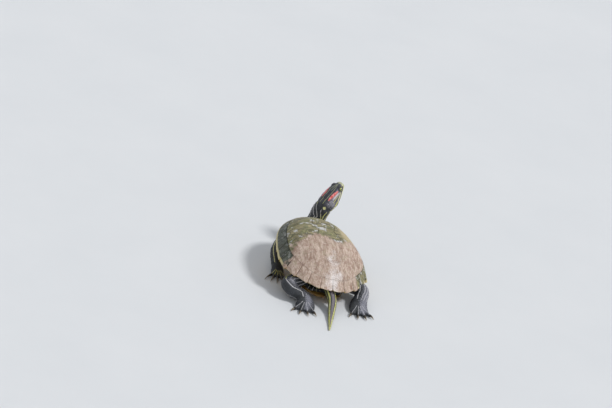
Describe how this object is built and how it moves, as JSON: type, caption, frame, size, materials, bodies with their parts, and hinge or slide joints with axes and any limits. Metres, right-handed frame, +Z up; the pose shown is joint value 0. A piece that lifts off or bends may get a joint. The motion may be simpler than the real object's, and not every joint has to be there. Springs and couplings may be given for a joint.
{
  "type": "red-eared slider turtle",
  "caption": "Life-size adult red-eared slider standing on its feet, neck raised, head turned to its right and tipped up, tail laid along the floor.",
  "frame": {"origin": "centre of the bounding box in plan, on the floor the feet and tail stand on", "axes": "+Z up, -Y the way the shell points, +X towards the animal's left side"},
  "size_m": [0.1892, 0.295, 0.1097],
  "materials": {
    "carapace": "dry olive-brown horn under dried mud, with green algae near the front and the rim",
    "plastron": "satin orange-yellow horn with dark blotches",
    "skin": "matte blue-black skin with thin yellow stripes and a red streak behind each eye",
    "eyes": "wet yellow-green iris with a dark bar through the pupil",
    "claws": "satin dark horn"
  },
  "bodies": {
    "root": {"nuchal_scute": "carapace", "vertebral_scute_1": "carapace", "vertebral_scute_2": "carapace", "vertebral_scute_3": "carapace", "vertebral_scute_4": "carapace", "vertebral_scute_5": "carapace", "costal_scute_left_1": "carapace", "costal_scute_left_2": "carapace", "costal_scute_left_3": "carapace", "costal_scute_left_4": "carapace", "marginal_scutes_left": "carapace", "costal_scute_right_1": "carapace", "costal_scute_right_2": "carapace", "costal_scute_right_3": "carapace", "costal_scute_right_4": "carapace", "marginal_scutes_right": "carapace", "plastron_gular_scutes": "plastron", "plastron_humeral_scutes": "plastron", "plastron_pectoral_scutes": "plastron", "plastron_abdominal_scutes": "plastron", "plastron_femoral_scutes": "plastron", "plastron_anal_scutes": "plastron", "bridge_left": "plastron", "bridge_right": "plastron", "trunk": "skin", "eye_left": "eyes", "eye_right": "eyes", "head": "skin", "lower_jaw": "skin", "neck": "skin", "tail_base": "skin", "tail_tip": "skin", "left_foreleg_upper": "skin", "left_foreleg_foot": "skin", "left_foreleg_claw_1": "claws", "left_foreleg_claw_2": "claws", "left_foreleg_claw_3": "claws", "left_foreleg_claw_4": "claws", "left_foreleg_claw_5": "claws", "right_foreleg_upper": "skin", "right_foreleg_foot": "skin", "right_foreleg_claw_1": "claws", "right_foreleg_claw_2": "claws", "right_foreleg_claw_3": "claws", "right_foreleg_claw_4": "claws", "right_foreleg_claw_5": "claws", "left_hindleg_upper": "skin", "left_hindleg_foot": "skin", "left_hindleg_claw_1": "claws", "left_hindleg_claw_2": "claws", "left_hindleg_claw_3": "claws", "left_hindleg_claw_4": "claws", "right_hindleg_upper": "skin", "right_hindleg_foot": "skin", "right_hindleg_claw_1": "claws", "right_hindleg_claw_2": "claws", "right_hindleg_claw_3": "claws", "right_hindleg_claw_4": "claws"}
  },
  "joints": []
}
